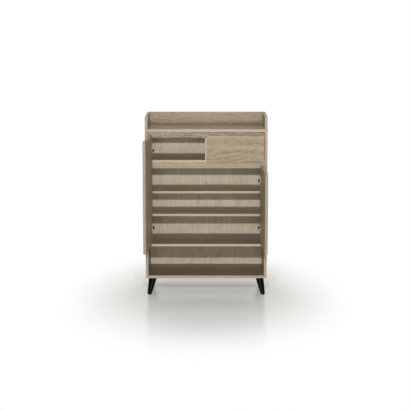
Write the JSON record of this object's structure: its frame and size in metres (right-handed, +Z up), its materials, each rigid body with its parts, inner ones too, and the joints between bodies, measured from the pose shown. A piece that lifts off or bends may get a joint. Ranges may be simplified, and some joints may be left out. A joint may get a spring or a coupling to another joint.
{
  "type": "shoe cabinet",
  "caption": "Oak-laminate shoe cabinet on tapered round legs, with inset doors on concealed hinges, a drawer above the short door, shelves, an open bottom tray and a top gallery.",
  "frame": {"origin": "on the floor, under the middle of the model's box with both doors open as at rest", "axes": "+Z up, -Y towards the user who opens the doors, +X to the user's right"},
  "size_m": [0.8, 0.7726, 1.185],
  "materials": {
    "oak_laminate": "satin laminate with a fine grain",
    "black_leg": "black gloss",
    "nickel_plate": "nickel plated steel",
    "bright_steel": "zinc plated",
    "cast_zinc": "cast zinc",
    "coated_runner": "white epoxy coat",
    "beech_dowel": "fluted beech",
    "soft_bumper": "clear soft plastic",
    "felt_glide": "pressed felt",
    "nylon_roller": "white nylon"
  },
  "bodies": {
    "carcass": {"back_panel": "oak_laminate", "bottom_panel": "oak_laminate", "cabinet_roller_pins": "bright_steel", "cam_bolts": "bright_steel", "cam_locks": "cast_zinc", "centre_partition": "oak_laminate", "compartment_floor": "oak_laminate", "deck_panel": "oak_laminate", "front_left_leg": "black_leg", "front_right_leg": "black_leg", "gallery_back_board": "oak_laminate", "left_arm_pins": "bright_steel", "left_cabinet_runner": "coated_runner", "left_hinge_arms": "nickel_plate", "left_hinge_plates": "nickel_plate", "left_plate_screws": "bright_steel", "left_side_panel": "oak_laminate", "leg_bolts": "bright_steel", "leg_glides": "felt_glide", "leg_inserts": "bright_steel", "lower_rail": "oak_laminate", "lower_shelf": "oak_laminate", "rear_left_leg": "black_leg", "rear_right_leg": "black_leg", "right_arm_pins": "bright_steel", "right_cabinet_runner": "coated_runner", "right_hinge_arms": "nickel_plate", "right_hinge_plates": "nickel_plate", "right_plate_screws": "bright_steel", "right_side_panel": "oak_laminate", "runner_screws": "bright_steel", "shelf_pins": "bright_steel", "strike_bumpers": "soft_bumper", "top_panel": "oak_laminate", "upper_rail": "oak_laminate", "upper_shelf": "oak_laminate", "wood_dowels": "beech_dowel"},
    "left_links": {"left_hinge_links": "nickel_plate"},
    "right_links": {"right_hinge_links": "nickel_plate"},
    "left_door": {"left_door": "oak_laminate", "left_hinge_cups": "nickel_plate", "left_cup_pins": "bright_steel", "left_cup_screws": "bright_steel"},
    "right_door": {"right_door": "oak_laminate", "right_hinge_cups": "nickel_plate", "right_cup_pins": "bright_steel", "right_cup_screws": "bright_steel"},
    "drawer": {"drawer_front": "oak_laminate", "drawer_left_side": "oak_laminate", "drawer_right_side": "oak_laminate", "drawer_back": "oak_laminate", "drawer_bottom": "oak_laminate", "drawer_cams": "cast_zinc", "drawer_bolts": "bright_steel", "left_drawer_runner": "coated_runner", "right_drawer_runner": "coated_runner", "drawer_roller_pins": "bright_steel"},
    "cabinet_rollers": {"cabinet_rollers": "nylon_roller"},
    "drawer_rollers": {"drawer_rollers": "nylon_roller"}
  },
  "joints": [
    {"name": "left_link_swing", "type": "hinge", "parent": "carcass", "child": "left_links", "pos_m": [-0.344, 0.01234, 0], "axis": [0, 0, -1], "range_deg": [-3.39, 72.09]},
    {"name": "left_door_swing", "type": "hinge", "parent": "left_links", "child": "left_door", "pos_m": [-0.34882, -0.0161, 0], "axis": [0, 0, -1], "range_deg": [-165.79, 6.69]},
    {"name": "right_link_swing", "type": "hinge", "parent": "carcass", "child": "right_links", "pos_m": [0.344, 0.01234, 0], "axis": [0, 0, 1], "range_deg": [-4.45, 71.03]},
    {"name": "right_door_swing", "type": "hinge", "parent": "right_links", "child": "right_door", "pos_m": [0.34935, -0.016, 0], "axis": [0, 0, 1], "range_deg": [-163.33, 9.15]},
    {"name": "drawer_slide", "type": "slide", "parent": "carcass", "child": "drawer", "axis": [0, -1, 0], "range_m": [0, 0.26]},
    {"name": "cabinet_rollers_turn", "type": "hinge", "parent": "carcass", "child": "cabinet_rollers", "pos_m": [0.195, 0.03333, 0.9243], "axis": [1, 0, 0], "continuous": true},
    {"name": "drawer_rollers_turn", "type": "hinge", "parent": "drawer", "child": "drawer_rollers", "pos_m": [0.195, 0.32833, 0.9243], "axis": [1, 0, 0], "continuous": true}
  ],
  "couplings": [
    {"joint": "left_link_swing", "follows": "left_door_swing", "ratio": -0.43182},
    {"joint": "right_link_swing", "follows": "right_door_swing", "ratio": -0.43182},
    {"joint": "cabinet_rollers_turn", "follows": "drawer_slide", "rad_per_m": 149.25},
    {"joint": "drawer_rollers_turn", "follows": "drawer_slide", "rad_per_m": 149.25}
  ]
}
